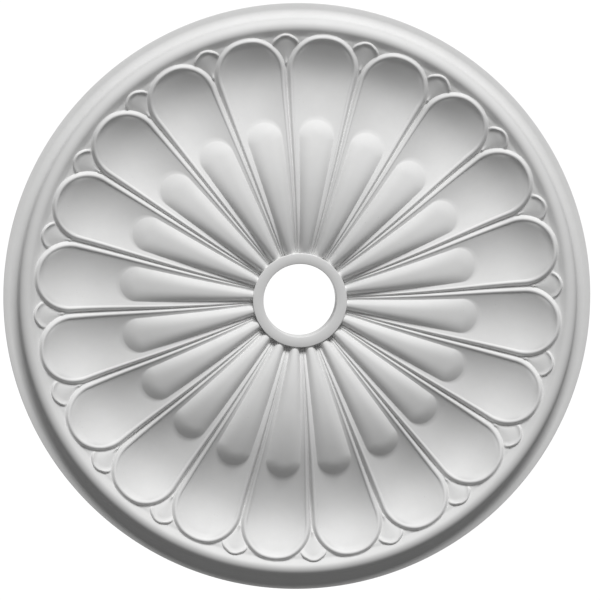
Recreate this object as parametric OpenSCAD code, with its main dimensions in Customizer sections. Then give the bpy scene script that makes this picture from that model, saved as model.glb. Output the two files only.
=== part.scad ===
// Ceiling rose: a round cast moulding, flat at the back, hung face down.
// The back lies in the plane z = 0 and the carved face looks down, towards -Z.

/* [Overall] */
// Diameter over the outer lip
rose_d = 680; // [560:10:820]
// Projection from the ceiling to the tallest petals
projection = 38; // [35:1:50]
// Number of flutes round the rose
flute_count = 20; // [16:2:24]

/* [Rim] */
// Thickness of the flat outer lip
lip_h = 4; // [3:0.5:4.5]
// Width of the flat outer lip
lip_w = 6; // [3:1:12]
// Height of the crest of the rim roll
rim_h = 25.5; // [25:0.5:29]
// Radius of the rim roll
roll_r = 11.5; // [8:0.5:13]
// Width of the hollow between the rim roll and the lip
cove_w = 11.5; // [8:0.5:18]

/* [Centre] */
// Diameter of the hole for cable and canopy
bore_d = 84; // [20:2:90]
// Diameter of the flat ring round the hole
ring_d = 108; // [104:2:130]
// Height of the flat ring
ring_h = 27.5; // [27:0.5:32]

/* [Flutes] */
// Share of the pitch between the crests of a flute's two beads
flute_share = 0.889; // [0.84:0.01:0.91]
// Height of the flute floor at its lowest
floor_h = 4.8; // [4.7:0.1:10]
// Hollow of a flute beside the round end of its petal
flute_sag = 3; // [2:0.5:5]
// Height of the bead at the round end
bead_h = 1.9; // [1:0.1:2.6]
// Width of the bead at the round end
bead_w = 6.4; // [4:0.2:8]
// Depth of the groove between two neighbouring beads at the round ends
groove_d = 5.2; // [2:0.1:6]
// Gap between the flute tips and the edge of the carving under the rim roll
flute_gap = 2.2; // [1:0.2:5]
// Height of the beads beside the ring
ridge_in_h = 18.6; // [16:0.1:25]
// Height of the beads where the petals are tallest
ridge_top_h = 33.4; // [30:0.1:34]
// Height of the beads at their lowest
ridge_low_h = 12.6; // [12:0.1:16]
// Height of the beads at the flute tips
ridge_out_h = 24.4; // [22:0.1:24.5]

/* [Petals] */
// Share of the pitch that the round end of a petal fills
petal_share = 0.68; // [0.5:0.01:0.72]
// Share of the pitch that a petal fills beside the ring
petal_in_share = 0.66; // [0.4:0.01:0.72]
// Height of a petal beside the ring
petal_in_h = 25.5; // [24:0.1:26.5]
// Height of a petal at the start of its round end
petal_out_h = 25.5; // [23:0.1:27]

/* [Leaves] */
// Radius of a leaf tip
leaf_r = 15.5; // [10:0.5:17]
// Swelling of a leaf above its ground
leaf_h = 3; // [1:0.1:4]

/* [Hidden] */

plaster = "#ecebe6";
rose_r = rose_d / 2;
pitch = 360 / flute_count;
half_pitch = pitch / 2;

// The rim: a roll, then a hollow down to the lip.
wall_step = 1;
cove_h = rim_h - roll_r - lip_h - wall_step;
rim_r = rose_r - lip_w - cove_w - roll_r - wall_step;

// The carving ends under the roll, and keeps its place by shares of its own radius.
under_roll = 2.5;
leaf_margin = 4.5;
field_r = rim_r - under_roll;
crown_r = 0.4 * field_r;
petal_c = 0.611 * field_r;
low_r = 0.81 * field_r;
tip_r = 0.973 * field_r;
leaf_c = field_r - leaf_margin - leaf_r;

// The centre of a flute's round end, and the half angles to the crest and foot of its bead.
flute_c = (field_r - flute_gap) / (1 + sin(half_pitch));
crest_a = half_pitch * flute_share;
foot_a = asin(sin(crest_a) - bead_w / 2 / flute_c);

ring_r = ring_d / 2;
ring_overlap = 4;
relief_in_r = ring_r - ring_overlap;
buried_h = 2;

petal_r = petal_share * petal_c * sin(half_pitch);
petal_in_r = petal_in_share * ring_r * sin(half_pitch);
petal_taper = asin((petal_r - petal_in_r) / (petal_c - ring_r));
basin_r = petal_c + 1.25 * petal_r;

// 0 at a, 1 at b, and held there beyond them.
function share(r, a, b) = min(max((r - a) / (b - a), 0), 1);

// Rises fast and flattens out: 0 at t = 0, 1 at t = 1.
function swell(t) = 1 - pow(1 - t, 2.2);

// Runs level at both ends.
function sweep(t) = (1 - cos(180 * pow(t, 1.05))) / 2;

// Height of the beads on the line between two flutes, r from the centre.
function ridge(r) =
    r < crown_r ? ridge_in_h + (ridge_top_h - ridge_in_h) * swell(share(r, ring_r, crown_r))
    : r < low_r ? ridge_top_h - (ridge_top_h - ridge_low_h) * sweep(share(r, crown_r, low_r))
    : ridge_low_h + (ridge_out_h - ridge_low_h) * pow(share(r, low_r, tip_r), 1.6);

// A bead grows in proportion to its distance from the centre.
function bead(r) = bead_h * r / flute_c;

// Height of the flute floor on its centre line.
function inner_floor(r) = ridge(r) - bead(r) - flute_sag * r / basin_r;
function outer_floor(r) =
    r < low_r ? floor_h + (inner_floor(basin_r) - floor_h) * pow((low_r - r) / (low_r - basin_r), 1.58)
    : floor_h + (ridge_out_h - bead_h - floor_h) * pow((r - low_r) / (tip_r - low_r), 2);
function flute_floor(r) = r < basin_r ? inner_floor(r) : outer_floor(r);

// Height of the floor y to one side of the centre line: it meets the foot of the bead.
function foot_rise(r) = (ridge(r) - bead(r) - flute_floor(r)) / pow(r * sin(foot_a), 2);
function hollow(r, y) = flute_floor(r) + foot_rise(min(r, flute_c)) * y * y;

// Height of a petal on its centre line.
function petal_top(x) =
    x < crown_r ? petal_in_h + (projection - petal_in_h) * swell(share(x, ring_r, crown_r))
    : projection - (projection - petal_out_h) * pow(share(x, crown_r, petal_c), 1.9)
    - 0.35 * max(0, x - petal_c);

// A petal bulges over the floor: full height on its line, none at its edge.
function bulge(s) = 1 - pow(s, 2.6);

// Outside the beads the ground slopes up and runs into the rim roll.
ground_a = 28;
touch_r = rim_r - roll_r * sin(ground_a);
touch_h = rim_h - roll_r * (1 - cos(ground_a));
function ground(r) = touch_h - max(0, touch_r - r) * tan(ground_a);

// A leaf swells from ground at the level of the groove between two beads.
leaf_at = leaf_c * [cos(half_pitch), sin(half_pitch)];
function groove(r) = max(ridge(r) - groove_d * r / flute_c, ground(r));
function leaf(p) = groove(norm(p)) + leaf_h * max(0, 1 - pow(norm(p - leaf_at) / leaf_r, 2));

// Half a flute is laid out in rows across the petal, then in rays round its end.
body_rows = 6;
rays = 8;
turn_ray = 2;
corner_ray = rays - 2;
across = [0, 0.42, 0.78, 1];
basin = [0.25, 0.5, 0.75];

// A row starts on the centre line at x and runs square to the side of the petal.
row_x = [for (i = [0 : body_rows]) relief_in_r + (petal_c - relief_in_r) * pow(i / body_rows, 0.9)];
function on_row(x, d) = [x, 0] + d * [-sin(petal_taper), cos(petal_taper)];
function row_to(x, a) = on_row(x, x * sin(a) / cos(a - petal_taper));
function petal_half(x) = petal_r - (petal_c - x) * sin(petal_taper);

// The outline of a flute at half angle a: a straight side, then a round end.
function at(r, a) = r * [cos(a), sin(a)];
function side_start(a) = norm(row_to(petal_c, a));
function outline(a, k) =
    k == 0 ? row_to(petal_c, a)
    : k <= turn_ray ? at(side_start(a) + (flute_c * cos(a) - side_start(a)) * k / turn_ray, a)
    : [flute_c, 0] + at(flute_c * sin(a), (90 + a) * (rays - k) / (rays - turn_ray));

// A point on ray k, a share s of the way out from the centre of the petal's round end.
function petal_at(s, k) = [petal_c, 0] + at(s * petal_r, (90 + petal_taper) * (1 - k / rays));

// Points of the relief, from their place and height.
function pin(p, h) = [p[0], p[1], h];
function mix(p, q, t) = p + (q - p) * t;
function petal_pin(p, s, edge_h) = pin(p, edge_h + (petal_top(p[0]) - edge_h) * bulge(s));
function floor_pin(p) = pin(p, hollow(norm(p), p[1]));
function crest_pin(p) = pin(p, ridge(norm(p)));
function groove_pin(p) = pin(p, groove(norm(p)));
function leaf_pin(p) = pin(p, leaf(p));

// A row of points from the middle of a petal out to the groove between flutes.
function row_pins(i) =
    let (x = row_x[i], edge = on_row(x, petal_half(x)), edge_h = hollow(norm(edge), edge[1]))
    concat(
        [for (s = across) petal_pin(on_row(x, s * petal_half(x)), s, edge_h)],
        [floor_pin(row_to(x, foot_a)), crest_pin(row_to(x, crest_a)),
         groove_pin(row_to(x, half_pitch))]);

// A ray of points from the centre of the petal's round end out to the groove.
function ray_pins(k) =
    let (edge = petal_at(1, k), edge_h = hollow(norm(edge), edge[1]), foot = outline(foot_a, k))
    concat(
        [for (s = across) petal_pin(petal_at(s, k), s, edge_h)],
        [for (t = basin) floor_pin(mix(edge, foot, t))],
        [floor_pin(foot), crest_pin(outline(crest_a, k)), groove_pin(outline(half_pitch, k))]);

// Where each ray ends: along the line between flutes, then along the rim.
function border(k) =
    let (start = flute_c * cos(half_pitch))
    k <= corner_ray
        ? at(start + (field_r - start) * (k - turn_ray) / (corner_ray - turn_ray), half_pitch)
        : at(field_r, half_pitch * (rays - k) / (rays - corner_ray));
function leaf_pins(k) =
    let (a = outline(half_pitch, k), b = border(k))
    [groove_pin(a), leaf_pin(mix(a, b, 0.5)), leaf_pin(b)];

// Faces between two neighbouring strings of points, with repeated points dropped.
function clean(f) = [for (i = [0 : len(f) - 1]) if (norm(f[i] - f[(i + 1) % len(f)]) > 0.01) f[i]];
function strip(a, b) = [for (j = [0 : len(a) - 2]) clean([a[j], a[j + 1], b[j + 1], b[j]])];
function span(a, i, j) = [for (n = [i : j]) a[n]];
function back(a) = [for (n = [len(a) - 1 : -1 : 0]) a[n]];
function last(a) = a[len(a) - 1];

body_faces = [for (i = [0 : body_rows - 2]) each strip(row_pins(i), row_pins(i + 1))];
ray_faces = [for (k = [0 : rays - 1]) each strip(ray_pins(k), ray_pins(k + 1))];
leaf_faces = [for (k = [turn_ray : rays - 1]) each strip(leaf_pins(k), leaf_pins(k + 1))];

// The last row meets the first ray, which carries more points.
petal_end = len(across) - 1;
last_row = row_pins(body_rows - 1);
first_ray = ray_pins(0);
foot_n = len(first_ray) - 3;
joint_faces = concat(
    strip(span(last_row, 0, petal_end), span(first_ray, 0, petal_end)),
    [concat(span(last_row, petal_end, petal_end + 1), back(span(first_ray, petal_end, foot_n)))],
    strip(span(last_row, petal_end + 1, petal_end + 3), span(first_ray, foot_n, foot_n + 2)));

// Walls and floor that close the relief inside the base, the ring and the rim.
function buried(p) = [p[0], p[1], buried_h];
rim_line = [for (k = [corner_ray : rays]) last(leaf_pins(k))];
ring_line = row_pins(0);
closing_faces = [
    concat(back(rim_line), [buried(rim_line[0]), buried(last(rim_line))]),
    concat(back(ring_line), [buried(ring_line[0]), buried(last(ring_line))]),
    [buried(last(ring_line)), buried(ring_line[0]), buried(last(rim_line)), buried(rim_line[0])]];

half_flute = [for (f = concat(body_faces, joint_faces, ray_faces, leaf_faces, closing_faces))
    if (len(f) > 2) f];

// Turned to its place, face down, and rounded so that neighbours meet exactly.
function exact(v) = round(v * 1000) / 1000;
function placed(p, a, side) =
    let (y = p[1] * side)
    [exact(p[0] * cos(a) - y * sin(a)), exact(p[0] * sin(a) + y * cos(a)), exact(-p[2])];
function turned(f, a, side) =
    let (g = [for (p = f) placed(p, a, side)])
    side > 0 ? back(g) : g;

all_faces = [for (n = [0 : flute_count - 1], side = [1, -1], f = half_flute)
    turned(f, n * pitch, side)];
starts = [for (n = 0, i = 0; n < len(all_faces); i = i + len(all_faces[n]), n = n + 1) i];

module relief() {
    polyhedron(
        points = [for (f = all_faces) each f],
        faces = [for (n = [0 : len(all_faces) - 1])
            [for (i = [0 : len(all_faces[n]) - 1]) starts[n] + i]],
        convexity = 8);
}

module disc(r, h) {
    translate([0, 0, -h]) cylinder(r = r, h = h, $fn = 160);
}

// The rim is turned in one: roll, hollow and flat lip.
arc_steps = 8;
roll_steps = 12;
roll_at = [rim_r, rim_h - roll_r];
cove_at = [rose_r - lip_w, lip_h + cove_h];
rim_profile = concat(
    [[rim_r - roll_r, 0], [rim_r - roll_r, rim_h - roll_r]],
    [for (i = [1 : roll_steps]) roll_at + at(roll_r, 180 - 180 * i / roll_steps)],
    [for (i = [0 : arc_steps]) let (a = 180 + 90 * i / arc_steps)
        cove_at + [cove_w * cos(a), cove_h * sin(a)]],
    [[rose_r, lip_h], [rose_r, 0]]);

module rim() {
    mirror([0, 0, 1]) rotate_extrude($fn = 160) polygon(rim_profile);
}

module ceiling_rose() {
    color(plaster)
    difference() {
        union() {
            relief();
            rim();
            disc(rim_r, lip_h);
            disc(ring_r, ring_h);
        }
        translate([0, 0, -ring_h - 1]) cylinder(d = bore_d, h = ring_h + 2, $fn = 96);
    }
}

ceiling_rose();
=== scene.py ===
import math
from contextlib import contextmanager

import bmesh
import bpy
from mathutils import Matrix, Vector


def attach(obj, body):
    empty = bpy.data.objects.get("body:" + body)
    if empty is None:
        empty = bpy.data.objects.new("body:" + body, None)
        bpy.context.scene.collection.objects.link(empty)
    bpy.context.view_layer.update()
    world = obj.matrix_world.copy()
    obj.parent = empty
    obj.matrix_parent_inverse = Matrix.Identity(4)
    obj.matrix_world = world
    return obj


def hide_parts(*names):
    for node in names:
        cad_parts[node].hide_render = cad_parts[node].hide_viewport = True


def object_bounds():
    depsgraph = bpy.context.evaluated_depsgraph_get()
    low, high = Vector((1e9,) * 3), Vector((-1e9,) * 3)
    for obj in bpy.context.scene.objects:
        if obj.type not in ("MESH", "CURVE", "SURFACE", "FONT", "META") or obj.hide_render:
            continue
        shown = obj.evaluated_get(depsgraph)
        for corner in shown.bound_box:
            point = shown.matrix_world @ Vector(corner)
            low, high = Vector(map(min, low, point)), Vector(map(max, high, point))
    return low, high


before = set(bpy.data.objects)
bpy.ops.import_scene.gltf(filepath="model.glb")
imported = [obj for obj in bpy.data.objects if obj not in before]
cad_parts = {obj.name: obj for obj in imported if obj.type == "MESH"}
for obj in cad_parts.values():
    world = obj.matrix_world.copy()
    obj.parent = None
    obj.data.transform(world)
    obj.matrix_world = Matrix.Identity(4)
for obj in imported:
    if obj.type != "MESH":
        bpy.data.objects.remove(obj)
CAD_LOW, CAD_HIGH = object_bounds()

bl_info = {
    "name": "Ceiling Rose",
    "version": (1, 0, 0),
    "blender": (4, 5, 0),
    "location": "View3D > Sidebar > Ceiling Rose",
    "description": "Models a fluted ceiling rose round its packed solid",
    "category": "Object",
}

MM = 0.001
SAME_PLACE = 1e-6


# ---------------------------------------------------------------- settings


class RoseSizes(bpy.types.PropertyGroup):
    """Sizes of the moulding, in metres unless they say otherwise."""

    outer_radius: bpy.props.FloatProperty(
        name="Outer radius",
        description="Radius over the flat lip",
        default=CAD_HIGH.x,
        subtype="DISTANCE",
    )
    projection: bpy.props.FloatProperty(
        name="Projection",
        description="From the ceiling to the tallest petals",
        default=-CAD_LOW.z,
        subtype="DISTANCE",
    )
    bore_radius: bpy.props.FloatProperty(
        name="Hole radius",
        description="Radius of the hole for cable and canopy",
        default=0.042,
        subtype="DISTANCE",
    )
    ring_radius: bpy.props.FloatProperty(
        name="Ring radius",
        description="Outer radius of the flat ring round the hole",
        default=0.054,
        subtype="DISTANCE",
    )
    ring_height: bpy.props.FloatProperty(
        name="Ring height",
        description="From the ceiling down to the flat ring",
        default=0.0275,
        subtype="DISTANCE",
    )
    flutes: bpy.props.IntProperty(
        name="Flutes",
        description="Number of flutes round the rose",
        default=20,
    )
    bead_height: bpy.props.FloatProperty(
        name="Bead height",
        description="Height of the bead round the end of a flute",
        default=0.0019,
        subtype="DISTANCE",
    )
    bead_width: bpy.props.FloatProperty(
        name="Bead width",
        description="Width of the bead round the end of a flute",
        default=0.0058,
        subtype="DISTANCE",
    )
    leaf_radius: bpy.props.FloatProperty(
        name="Leaf radius",
        description="Radius of the small bead round the tip of a leaf",
        default=0.0155,
        subtype="DISTANCE",
    )
    leaf_bead_width: bpy.props.FloatProperty(
        name="Leaf bead width",
        description="Width of the small bead round the tip of a leaf",
        default=0.0038,
        subtype="DISTANCE",
    )
    leaf_bead_height: bpy.props.FloatProperty(
        name="Leaf bead height",
        description="Height of the small bead round the tip of a leaf",
        default=0.0018,
        subtype="DISTANCE",
    )


class RoseFinish(bpy.types.PropertyGroup):
    """Colours and finish of the primed moulding and its studio."""

    primer: bpy.props.FloatVectorProperty(
        name="Primer",
        description="Colour of the matt white primer",
        subtype="COLOR",
        size=3,
        min=0.0,
        max=1.0,
        default=(0.80, 0.80, 0.797),
    )
    chalk: bpy.props.FloatVectorProperty(
        name="Thin primer",
        description="Colour where the primer is thinner",
        subtype="COLOR",
        size=3,
        min=0.0,
        max=1.0,
        default=(0.755, 0.755, 0.75),
    )
    sheen_roughness: bpy.props.FloatProperty(
        name="Roughness",
        description="Mean roughness of the primer",
        default=0.62,
        min=0.0,
        max=1.0,
        subtype="FACTOR",
    )
    key_strength: bpy.props.FloatProperty(
        name="Key light",
        description="Strength of the soft light on the carved face",
        default=2.91,
    )
    fill_strength: bpy.props.FloatProperty(
        name="Fill light",
        description="Strength of the even light from all round",
        default=0.1475,
    )


# ---------------------------------------------------------------- form of the relief


def share(value, start, end):
    """How far a value is from start to end, held between 0 and 1."""
    return min(max((value - start) / (end - start), 0.0), 1.0)


def mix(a, b, t):
    return a + (b - a) * t


def swell(t):
    """From 0 to 1, rising fast and then levelling off."""
    return 1 - (1 - t) ** 2.2


def at(radius, angle):
    return Vector((radius * math.cos(angle), radius * math.sin(angle)))


class Relief:
    """Heights of the carving in millimetres from the ceiling down, over half a flute."""

    # the rim's lip, the hollow above it, and the roll, which is tighter on its inner side
    LIP_W, LIP_H, LIP_DIP = 6.0, 4.0, 1.2
    COVE_W, WALL_STEP = 11.5, 1.0
    RIM_H, ROLL_R, INNER_R = 24.5, 10.0, 7.5
    ROLL_LAP = 4.0
    GROUND_A = math.radians(33.0)
    # the ridge between two flutes: by the ring, at its top, at its lowest and at the flutes' tips
    RIDGE_IN, RIDGE_TOP, RIDGE_LOW, RIDGE_OUT = 18.6, 33.8, 12.2, 24.4
    RIDGE_FALL, RIDGE_RISE = 1.2, 1.6
    # a flute's floor: its lowest height, how far it sags across, and how it falls and turns up
    FLOOR_LOW, SAG = 4.3, 5.2
    FLOOR_FALL, FLOOR_BEND = 1.58, 0.75
    # a petal: height by the ring and at its end, its fall, and its roundness across
    PETAL_IN, PETAL_OUT = 25.5, 25.5
    PETAL_FALL, PETAL_NOSE, PETAL_ROUND = 1.9, 0.35, 2.8
    # places along a flute, as shares of the carved field's radius
    CROWN, LOWEST, TIP, PETAL_END = 0.4, 0.81, 0.973, 0.611
    # widths: petal by its end and by the ring, bead's crest, and basin past the petal's end
    PETAL_WIDE, PETAL_NARROW, CREST, BASIN_PAST = 0.68, 0.66, 0.889, 1.25
    FLUTE_MARGIN = 2.2
    # the groove between two beads, which is shallower past the flutes' widest part
    GROOVE_D, GROOVE_FADE, FADE_FROM, FADE_TO = 6.4, 0.3, 240.0, 280.0
    # a bead's roundness, and the steepness and reach of its outer side
    BEAD_ROUND, BEAD_SIDE, BEAD_REACH = 0.75, 1.7, 0.75
    # a leaf: distance from the centre, how far it domes, and where its bead is fully grown
    LEAF_OUT, LEAF_LIFT, LEAF_GROWN = 287.5, 2.2, 0.14

    def __init__(self, sizes):
        self.half_pitch = math.pi / sizes.flutes
        self.projection = sizes.projection / MM
        self.rose_r = sizes.outer_radius / MM
        self.bore_r = sizes.bore_radius / MM
        self.ring_r = sizes.ring_radius / MM
        self.ring_h = sizes.ring_height / MM
        self.bead_h = sizes.bead_height / MM
        self.bead_w = sizes.bead_width / MM
        self.leaf_r = sizes.leaf_radius / MM
        self.leaf_bead_w = sizes.leaf_bead_width / MM
        self.leaf_bead_h = sizes.leaf_bead_height / MM
        self.cove_h = self.RIM_H - self.ROLL_R - self.LIP_H - self.WALL_STEP
        self.roll_c = self.rose_r - self.LIP_W - self.COVE_W - self.ROLL_R - self.WALL_STEP
        self.field_r = self.roll_c - self.ROLL_LAP
        self.touch_r = self.roll_c - self.INNER_R * math.sin(self.GROUND_A)
        self.crown_r, self.low_r, self.tip_r, self.petal_c = (
            k * self.field_r for k in (self.CROWN, self.LOWEST, self.TIP, self.PETAL_END)
        )
        self.flute_c = (self.field_r - self.FLUTE_MARGIN) / (1 + math.sin(self.half_pitch))
        self.crest_a = self.half_pitch * self.CREST
        self.foot_a = math.asin(math.sin(self.crest_a) - self.bead_w / 2 / self.flute_c)
        self.petal_r = self.PETAL_WIDE * self.petal_c * math.sin(self.half_pitch)
        petal_in_r = self.PETAL_NARROW * self.ring_r * math.sin(self.half_pitch)
        self.taper = math.asin((self.petal_r - petal_in_r) / (self.petal_c - self.ring_r))
        self.basin_r = self.petal_c + self.BASIN_PAST * self.petal_r
        self.leaf_at = at(self.LEAF_OUT, self.half_pitch)

    def bead(self, r):
        """Height of a bead over the flute's edge: lower towards the ring."""
        return self.bead_h * r / self.flute_c

    def ridge(self, r):
        """Crest of the beads between two flutes."""
        if r < self.crown_r:
            return mix(self.RIDGE_IN, self.RIDGE_TOP, swell(share(r, self.ring_r, self.crown_r)))
        if r < self.low_r:
            turn = math.pi * share(r, self.crown_r, self.low_r) ** self.RIDGE_FALL
            return mix(self.RIDGE_TOP, self.RIDGE_LOW, (1 - math.cos(turn)) / 2)
        return mix(self.RIDGE_LOW, self.RIDGE_OUT, share(r, self.low_r, self.tip_r) ** self.RIDGE_RISE)

    def inner_floor(self, r):
        """Middle of a flute beside its petal."""
        return self.ridge(r) - self.bead(r) - self.SAG * r / self.basin_r

    def flute_floor(self, r):
        """Middle of a flute: down to its lowest, then turning up to its tip and running on straight."""
        if r < self.basin_r:
            return self.inner_floor(r)
        if r < self.low_r:
            t = (self.low_r - r) / (self.low_r - self.basin_r)
            return self.FLOOR_LOW + (self.inner_floor(self.basin_r) - self.FLOOR_LOW) * t**self.FLOOR_FALL
        t = (r - self.low_r) / (self.tip_r - self.low_r)
        bend = self.FLOOR_BEND
        rise = (t * t if t < bend else (2 * t - bend) * bend) / ((2 - bend) * bend)
        return self.FLOOR_LOW + (self.RIDGE_OUT - self.bead_h - self.FLOOR_LOW) * rise

    def hollow(self, p):
        """Height in a flute, curved across from its floor to the foot of its bead."""
        r = p.length
        k = min(r, self.flute_c)
        rise = (self.ridge(k) - self.bead(k) - self.flute_floor(k)) / (k * math.sin(self.foot_a)) ** 2
        return self.flute_floor(r) + rise * p.y * p.y

    def petal_top(self, x):
        """Height along the middle of a petal."""
        if x < self.crown_r:
            return mix(self.PETAL_IN, self.projection, swell(share(x, self.ring_r, self.crown_r)))
        fall = share(x, self.crown_r, self.petal_c) ** self.PETAL_FALL
        return mix(self.projection, self.PETAL_OUT, fall) - self.PETAL_NOSE * max(0.0, x - self.petal_c)

    def roll(self, r):
        """Height on the inner side of the rim's roll."""
        return self.RIM_H - self.INNER_R + math.sqrt(max(self.INNER_R**2 - (self.roll_c - r) ** 2, 0.0))

    def groove(self, r):
        """Ground between neighbouring beads, rising into the rim roll."""
        if r > self.touch_r:
            return self.roll(r)
        slope = self.roll(self.touch_r) - (self.touch_r - r) * math.tan(self.GROUND_A)
        fade = 1 - self.GROOVE_FADE * share(r, self.FADE_FROM, self.FADE_TO)
        depth = self.GROOVE_D * r / self.flute_c * fade
        return max(self.ridge(r) - depth, slope)

    def bead_over(self, p, u):
        """Height on a bead: u is 0 on its crest, -1 at its foot in the flute, 1 near the groove."""
        r = p.length
        if u < 0:
            return self.ridge(r) - self.bead(r) * (1 - max(1 - u * u, 0.0) ** self.BEAD_ROUND)
        low = self.groove(r)
        return low + max(self.ridge(r) - low, 0.0) * (1 - (self.BEAD_REACH * u) ** self.BEAD_SIDE)

    def petal_edge(self, r):
        """Angle of the side of a petal at that distance from the centre."""
        s = (self.petal_r - self.petal_c * math.sin(self.taper)) / r
        return self.taper + math.asin(max(-1.0, min(1.0, s)))

    def leaf_height(self, p, t, lift):
        """Height in and round a leaf: domed across, with a small bead round its tip."""
        u = abs((p - self.leaf_at).length - self.leaf_r) / (self.leaf_bead_w / 2)
        dome = lift * self.LEAF_LIFT * swell(t)
        bead = share(t, 0.0, self.LEAF_GROWN) * self.leaf_bead_h * max(1 - u * u, 0.0) ** self.BEAD_ROUND
        return self.groove(p.length) + dome + bead


class HalfFlute:
    """Lays half a flute out in rows over the petal, then in rays round its end."""

    # rows beside the petal, and how they spread
    BODY_ROWS, BODY_SPREAD = 30, 0.95
    # rays along the straight side, the leaf, its bead, the corner past it, and the rim
    STRAIGHT_RAYS, LEAF_RAYS, LEAF_BEAD_RAYS, CORNER_RAYS, RIM_RAYS = 8, 10, 4, 2, 10
    # how the leaf's dome grows along it
    LIFT_GROWTH = 1.3
    # past this turn the groove runs closer to the leaf's own line
    WIDEST_TURN = math.radians(75)
    # places across the petal, the basin, the bead and the leaf
    PETAL = (0.0, 0.16, 0.32, 0.48, 0.63, 0.76, 0.87, 0.95, 1.0)
    BASIN = (0.0, 0.06, 0.16, 0.29, 0.44, 0.59, 0.73, 0.85, 0.94, 1.0)
    BEAD = (-0.8, -0.52, -0.2, 0.2, 0.52, 0.8, 1.0)
    LEAF = (0.0, 0.06, 0.14, 0.24, 0.36, 0.5, 0.64, 0.76, 0.88, 1.0)

    def __init__(self, relief):
        self.f = f = relief
        self.rays = (
            self.STRAIGHT_RAYS + self.LEAF_RAYS + self.LEAF_BEAD_RAYS + self.CORNER_RAYS + self.RIM_RAYS
        )
        self.full = math.pi / 2 + f.half_pitch
        half_bead = f.leaf_bead_w / 2
        turns = [
            self.turn_where(f.leaf_r + mix(-half_bead, half_bead, i / self.LEAF_BEAD_RAYS))
            for i in range(self.LEAF_BEAD_RAYS + 1)
        ]
        self.turns = [mix(self.full, turns[0], i / self.LEAF_RAYS) for i in range(self.LEAF_RAYS)]
        self.turns += turns
        rest = self.CORNER_RAYS + self.RIM_RAYS
        self.turns += [turns[-1] * (1 - i / rest) for i in range(1, rest + 1)]

    def turn_where(self, radius):
        """Angle round a flute's end at which the outer groove meets that circle about the leaf."""
        f = self.f
        groove_r = f.flute_c * math.sin(f.half_pitch)
        low, high = 0.0, self.full
        halvings = 50
        for _ in range(halvings):
            middle = (low + high) / 2
            p = Vector((f.flute_c, 0)) + at(groove_r, middle)
            if (p - f.leaf_at).length > radius and middle < self.WIDEST_TURN:
                low = middle
            else:
                high = middle
        return (low + high) / 2

    def on_petal(self, s, k):
        """A point on a ray round the petal's end: s is 0 at its middle and 1 on its edge."""
        f = self.f
        turn = (math.pi / 2 + f.taper) * (1 - k / self.rays)
        return Vector((f.petal_c, 0)) + at(s * f.petal_r, turn)

    def row_dir(self):
        """Direction of a row, square to the side of the petal."""
        return Vector((-math.sin(self.f.taper), math.cos(self.f.taper)))

    def row_line(self, x, angle):
        """Where the row from x on the centre line meets that angle."""
        return Vector((x, 0)) + x * math.sin(angle) / math.cos(angle - self.f.taper) * self.row_dir()

    def outline(self, angle, k):
        """A point on the outline of a flute at that half angle."""
        f = self.f
        start = self.row_line(f.petal_c, angle).length
        if k <= self.STRAIGHT_RAYS:
            return at(mix(start, f.flute_c * math.cos(angle), k / self.STRAIGHT_RAYS), angle)
        turn = self.turns[k - self.STRAIGHT_RAYS] / self.full * (math.pi / 2 + angle)
        return Vector((f.flute_c, 0)) + at(f.flute_c * math.sin(angle), turn)

    def bead_angles(self):
        """Half angles of the lines along a bead, from its foot in the flute out to the groove."""
        f = self.f
        inner = f.crest_a - f.foot_a
        outer = min(inner, f.half_pitch - f.crest_a)
        return [f.crest_a + u * (inner if u < 0 else outer) for u in self.BEAD]

    def strings(self):
        """Rows of (x, y, height), all of one length, from the ring out to the flute's tip."""
        f = self.f
        rows = []
        for i in range(self.BODY_ROWS):
            w = i / self.BODY_ROWS
            x = mix(f.ring_r, f.petal_c, w**self.BODY_SPREAD)
            row = []
            for s in self.PETAL:
                r = mix(x, (Vector((x, 0)) + s * self.petal_half(x) * self.row_dir()).length, w)
                row.append(at(r, s * f.petal_edge(r)))
            for t in self.BASIN[1:]:
                r = mix(x, self.row_line(x, mix(f.petal_edge(x), f.foot_a, t)).length, w)
                row.append(at(r, mix(f.petal_edge(r), f.foot_a, t)))
            for a in self.bead_angles() + [f.half_pitch]:
                row.append(at(mix(x, self.row_line(x, a).length, w), a))
            rows.append(row)
        for k in range(self.rays + 1):
            edge, foot = self.on_petal(1.0, k), self.outline(f.foot_a, k)
            row = [self.on_petal(s, k) for s in self.PETAL]
            row += [mix(edge, foot, t) for t in self.BASIN[1:]]
            row += [self.outline(a, k) for a in self.bead_angles() + [f.half_pitch]]
            rows.append(row)
        return [self.raised(row) for row in rows]

    def petal_half(self, x):
        """Half width of the petal along the row from x."""
        return self.f.petal_r - (self.f.petal_c - x) * math.sin(self.f.taper)

    def raised(self, row):
        """Gives each point across a row its height."""
        f = self.f
        petals, basin = len(self.PETAL), len(self.BASIN) - 1
        edge = f.hollow(row[petals - 1])
        out = []
        for j, p in enumerate(row):
            if j < petals:
                s = self.PETAL[j]
                h = edge + (f.petal_top(p.x) - edge) * (1 - s**f.PETAL_ROUND)
            elif j < petals + basin:
                h = f.hollow(p)
            elif j < len(row) - 1:
                h = f.bead_over(p, self.BEAD[j - petals - basin])
            else:
                h = f.groove(p.length)
            if j >= petals + basin + len(self.BEAD) // 2:
                h = max(h, f.groove(p.length))
            out.append((p.x, p.y, h))
        return out

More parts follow.
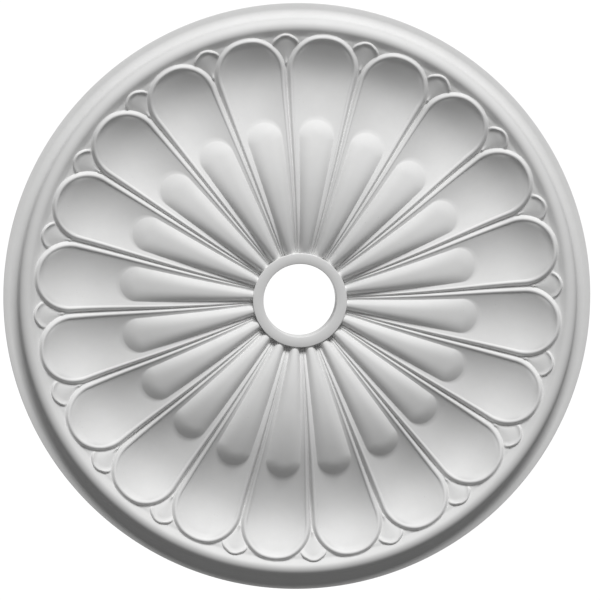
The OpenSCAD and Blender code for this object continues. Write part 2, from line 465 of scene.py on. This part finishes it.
    def leaf_strings(self):
        """Rows of (x, y, height) from a flute's outer groove to the leaf's centre line or the rim."""
        f = self.f
        start = f.flute_c * math.cos(f.half_pitch)
        leaf_in = f.leaf_at.length + f.leaf_r - f.leaf_bead_w / 2
        leaf_out = leaf_in + f.leaf_bead_w
        rows = []
        for n in range(self.rays - self.STRAIGHT_RAYS + 1):
            a = self.outline(f.half_pitch, n + self.STRAIGHT_RAYS)
            lift = share(n, 0, self.LEAF_RAYS) ** self.LIFT_GROWTH
            lift *= 1 - share(n - self.LEAF_RAYS, 1, self.LEAF_BEAD_RAYS)
            if n <= self.LEAF_RAYS:
                t = n / self.LEAF_RAYS
                b = at(mix(start, leaf_in, t), f.half_pitch)
                bend = t**3
            elif n <= self.LEAF_RAYS + self.LEAF_BEAD_RAYS:
                t = (n - self.LEAF_RAYS) / self.LEAF_BEAD_RAYS
                b = at(mix(leaf_in, leaf_out, t), f.half_pitch)
                bend = 1.0
            elif n <= self.LEAF_RAYS + self.LEAF_BEAD_RAYS + self.CORNER_RAYS:
                t = (n - self.LEAF_RAYS - self.LEAF_BEAD_RAYS) / self.CORNER_RAYS
                b = at(mix(leaf_out, f.field_r, t), f.half_pitch)
                bend = 1.0 - 0.5 * t
            else:
                left = self.rays - self.STRAIGHT_RAYS - n
                b = at(f.field_r, f.half_pitch * left / self.RIM_RAYS)
                bend = 0.5 * (left / self.RIM_RAYS) ** 3
            row = [self.leaf_point(a, b, t, bend) for t in self.LEAF]
            rows.append([(p.x, p.y, f.leaf_height(p, t, lift)) for p, t in zip(row, self.LEAF)])
        return rows

    def leaf_point(self, a, b, t, bend):
        """Between a straight line from a to b and an arc about the leaf."""
        f = self.f
        line = mix(a, b, t)
        if bend == 0.0 or (a - b).length < SAME_PLACE:
            return line
        va, vb = a - f.leaf_at, b - f.leaf_at
        turn_a, turn_b = math.atan2(va.y, va.x), math.atan2(vb.y, vb.x)
        if turn_b - turn_a > math.pi:
            turn_b -= 2 * math.pi
        if turn_a - turn_b > math.pi:
            turn_a -= 2 * math.pi
        arc = f.leaf_at + at(mix(va.length, vb.length, t), mix(turn_a, turn_b, t))
        return mix(line, arc, bend)


# ---------------------------------------------------------------- modelling helpers


def deselect_all():
    if bpy.context.object and bpy.context.object.mode != "OBJECT":
        bpy.ops.object.mode_set(mode="OBJECT")
    bpy.ops.object.select_all(action="DESELECT")


def make_active(obj):
    deselect_all()
    obj.select_set(True)
    bpy.context.view_layer.objects.active = obj


def sheet_from(name, strings_list):
    """A mesh from grids of (x, y, height), face down."""
    mesh = bpy.data.meshes.new(name)
    bm = bmesh.new()
    for strings in strings_list:
        grid = [[bm.verts.new((x * MM, y * MM, -h * MM)) for x, y, h in row] for row in strings]
        for upper, lower in zip(grid, grid[1:]):
            for j in range(len(upper) - 1):
                bm.faces.new((upper[j], upper[j + 1], lower[j + 1], lower[j]))
    bmesh.ops.remove_doubles(bm, verts=bm.verts, dist=SAME_PLACE)
    bm.to_mesh(mesh)
    bm.free()
    obj = bpy.data.objects.new(name, mesh)
    bpy.context.scene.collection.objects.link(obj)
    return obj


def chain_from(name, points):
    """A chain of edges in the XZ plane from (radius, height) points, face down."""
    mesh = bpy.data.meshes.new(name)
    verts = [(r * MM, 0.0, -h * MM) for r, h in points]
    mesh.from_pydata(verts, [(i, i + 1) for i in range(len(verts) - 1)], [])
    obj = bpy.data.objects.new(name, mesh)
    bpy.context.scene.collection.objects.link(obj)
    return obj


@contextmanager
def editing(obj, action="SELECT"):
    """Edit mode on one object, with all or none of it selected."""
    make_active(obj)
    bpy.ops.object.mode_set(mode="EDIT")
    bpy.ops.mesh.select_all(action=action)
    yield
    bpy.ops.object.mode_set(mode="OBJECT")


def join(objs):
    deselect_all()
    for o in objs:
        o.select_set(True)
    bpy.context.view_layer.objects.active = objs[0]
    bpy.ops.object.join()
    return bpy.context.view_layer.objects.active


def weld(obj, distance):
    with editing(obj):
        bpy.ops.mesh.remove_doubles(threshold=distance)


def copied(obj):
    make_active(obj)
    bpy.ops.object.duplicate()
    return bpy.context.view_layer.objects.active


def mirrored(obj):
    """A copy of the half flute on the other side of its centre line."""
    copy = copied(obj)
    with editing(copy):
        bpy.ops.transform.resize(value=(1, -1, 1), center_override=(0, 0, 0))
        bpy.ops.mesh.flip_normals()
    return copy


def turned_copy(obj, angle):
    copy = copied(obj)
    with editing(copy):
        bpy.ops.transform.rotate(value=angle, orient_axis="Z", center_override=(0, 0, 0))
    return copy


def spun(obj, steps):
    """Turns a chain of edges once round the Z axis."""
    with editing(obj):
        bpy.ops.mesh.spin(steps=steps, angle=2 * math.pi, center=(0, 0, 0), axis=(0, 0, 1))
        bpy.ops.mesh.select_all(action="SELECT")
        bpy.ops.mesh.remove_doubles(threshold=SAME_PLACE)
    return obj


def rim_profile(f, roll_steps=14, cove_steps=8, ease=0.7):
    """(radius, height) points over the roll, down the hollow, along the lip and round to the back."""
    points = []
    start = math.acos(-f.ROLL_LAP / f.INNER_R)
    for i in range(roll_steps + 1):
        a = start * (1 - i / roll_steps)
        size = f.INNER_R if math.cos(a) < 0 else f.ROLL_R
        points.append((f.roll_c + size * math.cos(a), f.RIM_H - size + size * math.sin(a)))
    middle_r, middle_h = f.rose_r - f.LIP_W, f.LIP_H + f.cove_h
    for i in range(cove_steps + 1):
        a = math.pi + math.pi / 2 * i / cove_steps
        points.append((middle_r + f.COVE_W * math.cos(a), middle_h + (f.cove_h + f.LIP_DIP) * math.sin(a)))
    cut = ease * 0.3
    points.append((f.rose_r - ease, f.LIP_H))
    points.append((f.rose_r - cut, f.LIP_H - cut))
    points.append((f.rose_r, f.LIP_H - ease))
    points.append((f.rose_r, 0.0))
    return points


def ring_strings(f, first_row):
    """Rows from the carving's inner edge up the ring, over it and down the hole."""
    outer, outer_cut, inner, inner_cut = 0.7, 0.2, 0.8, 0.25
    steps = (
        (f.ring_r, f.ring_h - outer),
        (f.ring_r - outer_cut, f.ring_h - outer_cut),
        (f.ring_r - outer, f.ring_h),
        (f.bore_r + inner, f.ring_h),
        (f.bore_r + inner_cut, f.ring_h - inner_cut),
        (f.bore_r, f.ring_h - inner),
        (f.bore_r, 0.0),
    )
    rows = [first_row]
    for r, h in steps:
        row = []
        for x, y, _ in first_row:
            k = r / math.hypot(x, y)
            row.append((x * k, y * k, h))
        rows.append(row)
    return rows[::-1]


# ---------------------------------------------------------------- materials


class Sock:
    """A value in a material, with arithmetic that adds its Math nodes."""

    def __init__(self, tree, link):
        self.tree, self.link = tree, link

    def _math(self, kind, *values):
        return self.tree.node("ShaderNodeMath", {"operation": kind}, values)

    def __add__(self, other):
        return self._math("ADD", self, other)

    __radd__ = __add__

    def __sub__(self, other):
        return self._math("SUBTRACT", self, other)

    def __rsub__(self, other):
        return self._math("SUBTRACT", other, self)

    def __mul__(self, other):
        return self._math("MULTIPLY", self, other)

    __rmul__ = __mul__

    def clamp(self):
        node = self._math("ADD", self, 0.0)
        node.link.node.use_clamp = True
        return node


class Tree:
    """A material's nodes, added by type, settings and inputs."""

    def __init__(self, name):
        self.material = bpy.data.materials.new(name)
        self.material.use_nodes = True
        self.nodes = self.material.node_tree.nodes
        self.links = self.material.node_tree.links
        self.nodes.clear()

    def node(self, kind, settings=None, inputs=(), out=0):
        made = self.nodes.new(kind)
        for key, value in (settings or {}).items():
            if key == "stops":
                ramp = made.color_ramp.elements
                while len(ramp) < len(value):
                    ramp.new(0.5)
                for stop, (place, tone) in zip(ramp, value):
                    stop.position, stop.color = place, (tone, tone, tone, 1.0)
            else:
                setattr(made, key, value)
        pairs = inputs.items() if isinstance(inputs, dict) else enumerate(inputs)
        for key, value in pairs:
            if isinstance(value, Sock):
                self.links.new(value.link, made.inputs[key])
            else:
                made.inputs[key].default_value = value
        return Sock(self, made.outputs[out]) if made.outputs else None

    def blend(self, factor, first, second):
        """Mixes two colours, which are inputs 6 and 7 of a Mix node, and its result is output 2."""
        inputs = {"Factor": factor, 6: first, 7: second}
        return self.node("ShaderNodeMix", {"data_type": "RGBA"}, inputs, out=2)

    def finish(self, shader):
        self.node("ShaderNodeOutputMaterial", {}, {"Surface": shader})
        return self.material


def colour(rgb):
    return (*rgb[:3], 1.0)


def primed_moulding(finish):
    """Matt white primer sprayed on a moulded face: faint mottling, fine grain and a few pinholes, each
    bumped in and darkened with painted shade.
    """
    t = Tree("primed_moulding")
    place = t.node("ShaderNodeTexCoord", out="Object")

    def noise(scale, detail, rough=0.55):
        inputs = {"Vector": place, "Scale": scale, "Detail": detail, "Roughness": rough}
        return t.node("ShaderNodeTexNoise", {}, inputs)

    cloud = noise(9.0, 3.0)
    mottle = noise(70.0, 4.0)
    grain = noise(900.0, 3.0, 0.65)
    tooth = noise(2600.0, 2.0, 0.6)
    spots = {"Vector": place, "Scale": 170.0}
    cells = t.node("ShaderNodeTexVoronoi", {"feature": "F1"}, spots, out="Distance")
    rare = t.node("ShaderNodeValToRGB", {"stops": ((0.62, 0.0), (0.66, 1.0))}, {"Fac": noise(40.0, 1.0)})
    pits = t.node("ShaderNodeValToRGB", {"stops": ((0.05, 1.0), (0.11, 0.0))}, {"Fac": cells})
    pinhole = pits * rare

    thin = (0.55 * cloud + 0.45 * mottle + 0.25 * (grain - 0.5) - 0.38) * 2.2
    base = t.blend(thin.clamp(), colour(finish.primer), colour(finish.chalk))
    # painted shade: the pinholes are darkened as if shade fell inside them
    pinhole_painted_shade = (0.45, 0.45, 0.44, 1.0)
    base = t.blend(pinhole * 0.35, base, pinhole_painted_shade)
    rough = (finish.sheen_roughness - 0.08) + 0.16 * mottle + 0.06 * (grain - 0.5)
    relief = 0.5 * grain + 0.35 * tooth + 0.5 * mottle - 0.9 * pinhole
    bump = t.node("ShaderNodeBump", {}, {"Strength": 0.35, "Distance": 0.00035, "Height": relief})
    shader = t.node(
        "ShaderNodeBsdfPrincipled",
        {},
        {"Base Color": base, "Roughness": rough, "Normal": bump, "Specular IOR Level": 0.3},
    )
    return t.finish(shader)


def studio_floor():
    """Plain pale floor with a faint mottling."""
    t = Tree("studio_floor")
    place = t.node("ShaderNodeTexCoord", out="Object")
    cloud = t.node("ShaderNodeTexNoise", {}, {"Vector": place, "Scale": 0.6, "Detail": 4.0})
    base = t.blend(cloud, (0.80, 0.80, 0.79, 1.0), (0.74, 0.74, 0.73, 1.0))
    return t.finish(t.node("ShaderNodeBsdfPrincipled", {}, {"Base Color": base, "Roughness": 0.8}))


def studio_backdrop():
    """Even white backdrop that only the camera sees."""
    t = Tree("studio_backdrop")
    return t.finish(t.node("ShaderNodeEmission", {}, {"Color": (1, 1, 1, 1), "Strength": 1.05}))


# ---------------------------------------------------------------- operators


class ROSE_OT_moulding(bpy.types.Operator):
    """Models the moulding: carved flutes, ring, rim and back in one piece"""

    bl_idname = "rose.moulding"
    bl_label = "Moulding"

    FLUTE_WELD, ROSE_WELD = 2e-6, 1e-5
    SMOOTH_UNDER = math.radians(50)

    def execute(self, context):
        sizes, finish = context.scene.rose_sizes, context.scene.rose_finish
        deselect_all()
        relief = Relief(sizes)
        half = HalfFlute(relief)
        strings = half.strings()
        sheet = sheet_from("moulding", [strings, half.leaf_strings(), ring_strings(relief, strings[0])])
        flute = join([sheet, mirrored(sheet)])
        weld(flute, self.FLUTE_WELD)
        pitch = 2 * math.pi / sizes.flutes
        flutes = [flute] + [turned_copy(flute, n * pitch) for n in range(1, sizes.flutes)]
        face = join(flutes)
        rim = spun(chain_from("rim", rim_profile(relief)), sizes.flutes * 2 * half.RIM_RAYS)
        rose = join([face, rim])
        weld(rose, self.ROSE_WELD)
        self.close_back(rose)
        rose.name = rose.data.name = "rose_moulding"
        with editing(rose):
            bpy.ops.mesh.normals_make_consistent(inside=False)
        bpy.ops.object.shade_smooth_by_angle(angle=self.SMOOTH_UNDER)
        rose.data.materials.clear()
        rose.data.materials.append(primed_moulding(finish))
        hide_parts("ceiling_rose")
        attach(rose, "root")
        return {"FINISHED"}

    def close_back(self, rose):
        """Fills the flat back between the outer edge and the hole."""
        with editing(rose, action="DESELECT"):
            bm = bmesh.from_edit_mesh(rose.data)
            bm.select_mode = {"EDGE"}
            for e in bm.edges:
                if len(e.link_faces) == 1:
                    if any(abs(v.co.z) > SAME_PLACE for v in e.verts):
                        place = ", ".join(f"({v.co.xy.length:.5f}, {v.co.z:.5f})" for v in e.verts)
                        raise RuntimeError(f"the moulding is open away from its back at {place}")
                    e.select_set(True)
            bmesh.update_edit_mesh(rose.data)
            bpy.ops.mesh.select_mode(type="EDGE")
            bpy.ops.mesh.fill(use_beauty=True)
        check = bmesh.new()
        check.from_mesh(rose.data)
        open_edges = sum(1 for e in check.edges if len(e.link_faces) != 2)
        check.free()
        if open_edges:
            raise RuntimeError(f"the moulding has {open_edges} open edges")


class ROSE_OT_stage(bpy.types.Operator):
    """Adds the pale floor, white backdrop, soft lights and camera"""

    bl_idname = "rose.stage"
    bl_label = "Stage"

    FLOOR_Z, FLOOR_SIZE, BACKDROP_RADIUS = -4.2, 30.0, 12.0
    # turn about the rose's axis of the camera's upward side
    UP_TURN = math.radians(84.15)
    # each light: turn, angle off the rose's axis, which way it comes from along it, and softness
    KEY = UP_TURN + math.radians(7.0), math.radians(55.2), -1.0, 24.0
    OVERHEAD = math.radians(-60.0), math.radians(38.0), 1.0, 20.0
    OVERHEAD_STRENGTH = 2.2
    # camera: distance, tilt off the axis, how it leans up and left, and where it aims
    DISTANCE, TILT = 2.6, math.radians(5.6)
    LEAN_UP, LEAN_LEFT = 0.81, 0.58
    AIM_Z, AIM_LEFT, AIM_UP = -0.014, -0.0006, -0.00044
    SENSOR, LENS = 36.0, 135.4

    def execute(self, context):
        scene, finish = context.scene, context.scene.rose_finish
        scene.view_settings.view_transform = "Standard"
        deselect_all()
        bpy.ops.mesh.primitive_plane_add(size=self.FLOOR_SIZE, location=(0, 0, self.FLOOR_Z))
        floor = context.object
        floor.name = "studio_floor"
        floor.data.materials.append(studio_floor())
        deselect_all()
        bpy.ops.mesh.primitive_uv_sphere_add(segments=48, ring_count=24, radius=self.BACKDROP_RADIUS)
        dome = context.object
        dome.name = "studio_backdrop"
        dome.data.materials.append(studio_backdrop())
        for obj in (floor, dome):
            obj.visible_diffuse = obj.visible_glossy = obj.visible_shadow = False
            obj.visible_transmission = obj.visible_volume_scatter = False
        self.lights(scene, finish)
        self.camera(scene)
        return {"FINISHED"}

    def lights(self, scene, finish):
        world = bpy.data.worlds.new("studio_world")
        world.use_nodes = True
        ground = world.node_tree.nodes["Background"]
        ground.inputs["Color"].default_value = (1, 1, 1, 1)
        ground.inputs["Strength"].default_value = finish.fill_strength
        scene.world = world
        self.sun("key", finish.key_strength, *self.KEY)
        # on the back and the floor only
        self.sun("overhead", self.OVERHEAD_STRENGTH, *self.OVERHEAD)

    def sun(self, name, strength, turn, off_axis, vertical, softness):
        bpy.ops.object.light_add(type="SUN", location=(0, 0, 0))
        lamp = bpy.context.object
        lamp.name = name
        lamp.data.energy = strength
        lamp.data.angle = math.radians(softness)
        side = at(math.sin(off_axis), turn)
        towards = Vector((side.x, side.y, vertical * math.cos(off_axis)))
        lamp.rotation_euler = towards.to_track_quat("Z", "Y").to_euler()
        lamp.location = towards * 3.0

    def camera(self, scene):
        """Looks up from below, a little off the axis towards the upper left."""
        up = Vector((math.cos(self.UP_TURN), math.sin(self.UP_TURN), 0))
        left = Vector((0, 0, -1)).cross(up)
        lean = (up * self.LEAN_UP + left * self.LEAN_LEFT).normalized()
        back = (Vector((0, 0, -math.cos(self.TILT))) + lean * math.sin(self.TILT)).normalized()
        data = bpy.data.cameras.new("camera")
        data.sensor_width, data.lens = self.SENSOR, self.LENS
        data.clip_start, data.clip_end = 0.05, 60.0
        data.dof.use_dof = False
        cam = bpy.data.objects.new("camera", data)
        scene.collection.objects.link(cam)
        right = up.cross(back).normalized()
        true_up = back.cross(right)
        turn = Matrix((right, true_up, back)).transposed().to_4x4()
        aim = Vector((0, 0, self.AIM_Z)) + left * self.AIM_LEFT + up * self.AIM_UP
        turn.translation = aim + back * self.DISTANCE
        cam.matrix_world = turn
        scene.camera = cam


class ROSE_PT_panel(bpy.types.Panel):
    """Shows the size and finish settings, with buttons for the moulding and the stage"""

    bl_idname = "ROSE_PT_panel"
    bl_label = "Ceiling Rose"
    bl_space_type = "VIEW_3D"
    bl_region_type = "UI"
    bl_category = "Ceiling Rose"

    def draw(self, context):
        layout = self.layout
        for group in (context.scene.rose_sizes, context.scene.rose_finish):
            box = layout.box()
            for key in group.bl_rna.properties.keys():
                if key not in {"rna_type", "name"}:
                    box.prop(group, key)
        for operator in (ROSE_OT_moulding, ROSE_OT_stage):
            layout.operator(operator.bl_idname)


CLASSES = (RoseSizes, RoseFinish, ROSE_OT_moulding, ROSE_OT_stage, ROSE_PT_panel)


def register():
    for cls in CLASSES:
        bpy.utils.register_class(cls)
    bpy.types.Scene.rose_sizes = bpy.props.PointerProperty(type=RoseSizes)
    bpy.types.Scene.rose_finish = bpy.props.PointerProperty(type=RoseFinish)


def unregister():
    del bpy.types.Scene.rose_finish
    del bpy.types.Scene.rose_sizes
    for cls in reversed(CLASSES):
        bpy.utils.unregister_class(cls)


def main():
    register()
    bpy.ops.rose.moulding()
    bpy.ops.rose.stage()


if __name__ == "__main__":
    main()
